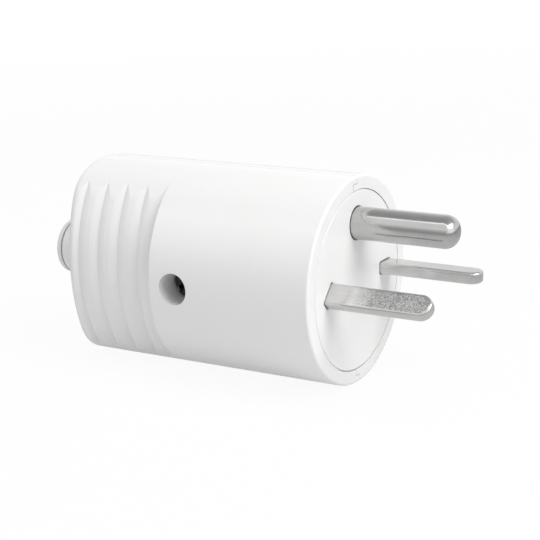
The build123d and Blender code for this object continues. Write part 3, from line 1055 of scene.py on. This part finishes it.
@dataclass
class Fasteners:
    """The side screw that closes the housing, and its nut."""

    shelf: EffectShelf
    place: Triple = (-28.7, -13.0, 0.0)
    finish: TurnedSteel = TurnedSteel(
        # near black, darker than plain steel: partly the screw's own dark finish, partly painted shade of
        # the deep recess it sits in
        "dark_steel_and_shade", grey(0.11), grey(0.06), centre=(-0.0287, 0.0, 0.0), edge_colour=grey(0.45)
    )
    screw: SlottedScrew = SlottedScrew(
        Thread(1.5),
        length=25.0,
        tip_edge=0.4,
        slot_width=0.8,
        slot_depth=1.0,
        slot_turn=35.0,
        head_radius=2.75,
        head_height=2.0,
        head_edge=0.45,
    )
    nut: HexagonNut = HexagonNut(Thread(1.5), across_flats=5.5, corner_radius=3.02, low=-24.6, high=-22.2)

    def build(self) -> None:
        """Makes the screw and the nut on one axis, so that their threads meet."""
        material = self.finish.material(self.shelf)
        place = seat(self.place, ALONG_PLUG, TO_SCREW_SIDE)
        screw = gathered("threaded_side_screw", [(self.screw.mesh("side_screw"), place)])
        stand_in(screw, "housing_screw", material)
        nut = gathered("chamfered_nut", [(self.nut.mesh("nut"), place)])
        stand_in(nut, "housing_nut", material)


@dataclass
class CordEnd:
    """The clamp inside with its two screws, and the bushing that leads the cable in."""

    shelf: EffectShelf
    screw_place: tuple[float, float] = (-43.2, -1.6)
    screw_reach: float = 9.0
    clamp_finish: MouldedPlastic = MouldedPlastic(
        "clamp_plastic", grey(0.8), grey(0.78), gloss_rough=0.4, haze_rough=0.5
    )
    bushing_finish: MouldedPlastic = MouldedPlastic(
        "soft_bushing", grey(0.82, 0.004), grey(0.8, 0.005), gloss_rough=0.4, haze_rough=0.5, grain=0.3
    )
    screw_finish: TurnedSteel = TurnedSteel(
        "clamp_zinc", grey(0.6, 0.01), grey(0.5, 0.015), centre=(-0.0432, 0.0, 0.009)
    )
    screw: SlottedScrew = SlottedScrew(
        Thread(1.45, pitch=0.8, depth=0.35),
        length=9.0,
        tip_edge=0.6,
        slot_width=0.8,
        slot_depth=1.0,
        slot_turn=35.0,
        head_radius=2.6,
        head_height=1.7,
        head_edge=0.5,
    )

    def build(self) -> None:
        """Dresses the clamp and the bushing, and makes the two screws."""
        dress("cord_clamp", self.clamp_finish.material(self.shelf))
        dress("cable_bushing", self.bushing_finish.material(self.shelf))
        screw = self.screw.mesh("clamp_screw")
        sides = (-self.screw_reach, self.screw_reach)
        parts = [(screw, seat((*self.screw_place, side), ALONG_PLUG, TO_SCREW_SIDE)) for side in sides]
        piece = gathered("threaded_clamp_screws", parts)
        stand_in(piece, "cord_clamp_screws", self.screw_finish.material(self.shelf))


@dataclass(frozen=True)
class Lamp:
    """A soft area lamp, placed by where it stands and what it looks at."""

    name: str
    place: Triple
    size: tuple[float, float]
    power: float
    target: Triple = (-0.02, 0.0, 0.0)

    def build(self) -> None:
        """Makes the lamp and turns it to its target."""
        data = bpy.data.lights.new(self.name, "AREA")
        data.shape = "ELLIPSE"
        data.size, data.size_y = self.size
        data.energy = self.power
        lamp = linked(self.name, data)
        lamp.location = self.place
        lamp.rotation_euler = (Vector(self.target) - Vector(self.place)).to_track_quat("-Z", "Y").to_euler()
        log.info("lamp %s", self.name)


@dataclass(frozen=True)
class ReflectionCard:
    """A curved card, hung round the plug's long axis, that only mirror-like surfaces see.

    Its angles run from straight up towards the screw's side, in degrees. Its shades run from the first
    angle to the last.
    """

    name: str
    first_angle: float
    last_angle: float
    shades: tuple[float, ...]
    radius: float = 0.45
    rear: float = -0.5
    front: float = 0.4
    brightest: float = 3.0
    steps: int = 12

    def build(self) -> None:
        """Makes the card and its plain glow."""
        form = bmesh.new()
        rows = []
        for k in range(self.steps + 1):
            share = k / self.steps
            angle = math.radians(self.first_angle + (self.last_angle - self.first_angle) * share)
            y, z = -self.radius * math.sin(angle), self.radius * math.cos(angle)
            rows.append([form.verts.new((x, y, z)) for x in (self.rear, self.front)])
        for one, other in zip(rows, rows[1:]):
            form.faces.new((one[0], one[1], other[1], other[0]))
        card = linked(self.name, finished_mesh(self.name, form))
        material, graph = new_material(self.name)
        strength = self.graded(graph)
        glow = graph.node("ShaderNodeEmission", {"Color": grey(1.0), "Strength": strength})
        graph.node("ShaderNodeOutputMaterial", {"Surface": glow.outputs[0]})
        card.data.materials.append(material)
        card.visible_camera = False
        card.visible_diffuse = False
        card.visible_shadow = False
        card.visible_transmission = False
        log.info("card %s", self.name)

    def graded(self, graph: Graph) -> bpy.types.NodeSocket:
        """Grades the card's brightness through its shades.

        Args:
            graph: the card's graph.

        Returns:
            The brightness.
        """
        split = graph.node("ShaderNodeSeparateXYZ", {0: graph.node("ShaderNodeTexCoord").outputs["Object"]})
        angle = graph.calc("ARCTAN2", graph.calc("MULTIPLY", split.outputs[1], -1.0), split.outputs[2])
        edges = (math.radians(self.first_angle), math.radians(self.last_angle))
        ramp = graph.node("ShaderNodeValToRGB", {0: graph.spread(angle, *edges)})
        elements = ramp.color_ramp.elements
        elements.remove(elements[-1])
        for k, shade in enumerate(self.shades):
            at = k / (len(self.shades) - 1)
            element = elements.new(at) if k else elements[0]
            element.position, element.color = at, grey(shade / self.brightest)
        return graph.calc("MULTIPLY", ramp.outputs[0], self.brightest)


@dataclass
class Studio:
    """The floor, the light, the reflection cards and the camera."""

    floor_height: float = -0.02005
    floor_radius: float = 3.0
    floor_segments: int = 96
    floor_albedo: float = 0.8
    floor_plainness: float = 0.94
    mirrored_near: float = 0.74
    mirrored_far: float = 0.42
    mirrored_from: float = 0.03
    mirrored_to: float = 0.2
    plain_from: float = 0.25
    plain_to: float = 0.6
    ambient: float = 0.5
    camera_place: Triple = (0.116207, -0.229343, 0.072929)
    camera_right: Triple = (0.864818, 0.501230, -0.029304)
    camera_up: Triple = (-0.108291, 0.243199, 0.963913)
    camera_back: Triple = (0.490269, -0.830435, 0.264601)
    lens: float = 94.85
    sensor: float = 36.0
    camera_reach: tuple[float, float] = (0.01, 10.0)
    lamps: tuple[Lamp, ...] = (
        Lamp("overhead_lamp", (-0.03, -0.05, 0.6), (0.5, 0.45), 0.87),
        Lamp("front_lamp", (0.6, -0.1, 0.3), (0.72, 0.72), 0.39),
        Lamp("high_front_lamp", (0.45, -0.05, 0.5), (0.5, 0.5), 2.76),
        Lamp("rear_lamp", (-0.5, -0.3, 0.35), (0.5, 0.5), 0.25),
    )
    cards: tuple[ReflectionCard, ...] = (
        ReflectionCard("overhead_card", -60.0, 14.0, (0.85, 0.64, 0.5, 0.42, 0.38)),
        ReflectionCard("shoulder_card", 14.0, 21.5, (0.38, 0.6, 0.75)),
        ReflectionCard("bright_strip_card", 21.5, 26.5, (1.0, 3.0, 1.0)),
        ReflectionCard("side_card", 64.0, 92.5, (1.0, 0.78, 0.6, 0.48, 0.4)),
    )

    def build(self) -> None:
        """Sets up the whole studio."""
        bpy.context.scene.view_settings.view_transform = "Standard"
        self.light_world()
        self.lay_floor()
        for fitting in (*self.lamps, *self.cards):
            fitting.build()
        self.place_camera()

    def light_world(self) -> None:
        """Lights evenly from all round, and shows plain white to the camera, metal and glass."""
        world = bpy.data.worlds.new("studio_world")
        bpy.context.scene.world = world
        world.use_nodes = True
        world.node_tree.nodes.clear()
        graph = Graph(world.node_tree)
        strength = graph.spread(self.seen(graph), 0.0, 1.0, self.ambient, 1.0)
        glow = graph.node("ShaderNodeBackground", {"Color": grey(1.0), "Strength": strength})
        graph.node("ShaderNodeOutputWorld", {"Surface": glow.outputs[0]})

    @staticmethod
    def seen(graph: Graph) -> bpy.types.NodeSocket:
        """Tells rays that show the surroundings from rays that light the plug.

        Args:
            graph: the graph that asks.

        Returns:
            One for rays that the camera, metal or glass sends, and zero for the rest.
        """
        path = graph.node("ShaderNodeLightPath")
        mirrored = graph.calc("MAXIMUM", path.outputs["Is Glossy Ray"], path.outputs["Is Transmission Ray"])
        return graph.calc("MAXIMUM", path.outputs["Is Camera Ray"], mirrored)

    def lay_floor(self) -> None:
        """Lays a pale floor that keeps the shadow near the plug and is plain white far away."""
        form = bmesh.new()
        bmesh.ops.create_circle(form, cap_ends=True, radius=self.floor_radius, segments=self.floor_segments)
        floor = linked("studio_floor", finished_mesh("studio_floor", form))
        floor.location = (0.0, 0.0, self.floor_height)
        floor.data.materials.append(self.floor_material())
        log.info("floor laid at %.5f m", self.floor_height)

    def floor_material(self) -> bpy.types.Material:
        """Builds the floor's finish.

        Returns:
            A material that is matt and pale near the plug, plain white far away and clear from below.
        """
        material, graph = new_material("studio_floor")
        matt = graph.node("ShaderNodeBsdfDiffuse", {"Color": grey(self.floor_albedo)})
        to_camera = graph.node("ShaderNodeLightPath").outputs["Is Camera Ray"]
        place = graph.node("ShaderNodeTexCoord").outputs["Object"]
        distance = graph.vector("LENGTH", {0: place}).outputs["Value"]
        reach = (self.mirrored_from, self.mirrored_to)
        mirrored = graph.spread(distance, *reach, self.mirrored_near, self.mirrored_far)
        brightness = graph.spread(to_camera, 0.0, 1.0, mirrored, 1.0)
        plain = graph.node("ShaderNodeEmission", {"Color": grey(1.0), "Strength": brightness})
        plainness = graph.spread(distance, self.plain_from, self.plain_to, self.floor_plainness, 1.0)
        share = graph.calc("MULTIPLY", plainness, self.seen(graph))
        top = graph.node("ShaderNodeMixShader", {0: share, 1: matt.outputs[0], 2: plain.outputs[0]})
        clear = graph.node("ShaderNodeBsdfTransparent")
        below = graph.node("ShaderNodeNewGeometry").outputs["Backfacing"]
        both = graph.node("ShaderNodeMixShader", {0: below, 1: top.outputs[0], 2: clear.outputs[0]})
        graph.node("ShaderNodeOutputMaterial", {"Surface": both.outputs[0]})
        return material

    def place_camera(self) -> None:
        """Stands the camera where the photograph was taken from."""
        data = bpy.data.cameras.new("photo_camera")
        data.lens, data.sensor_width = self.lens, self.sensor
        data.clip_start, data.clip_end = self.camera_reach
        camera = linked("photo_camera", data)
        turn = Matrix((self.camera_right, self.camera_up, self.camera_back)).transposed()
        camera.matrix_world = Matrix.Translation(self.camera_place) @ turn.to_4x4()
        bpy.context.scene.camera = camera


def main() -> None:
    logging.basicConfig(level=logging.INFO, format="%(name)s: %(message)s")
    shelf = EffectShelf()
    Studio().build()
    for assembly in (Housing(shelf), Contacts(shelf), Fasteners(shelf), CordEnd(shelf)):
        assembly.build()
        log.info("assembly %s is done", type(assembly).__name__)


if __name__ == "__main__":
    main()
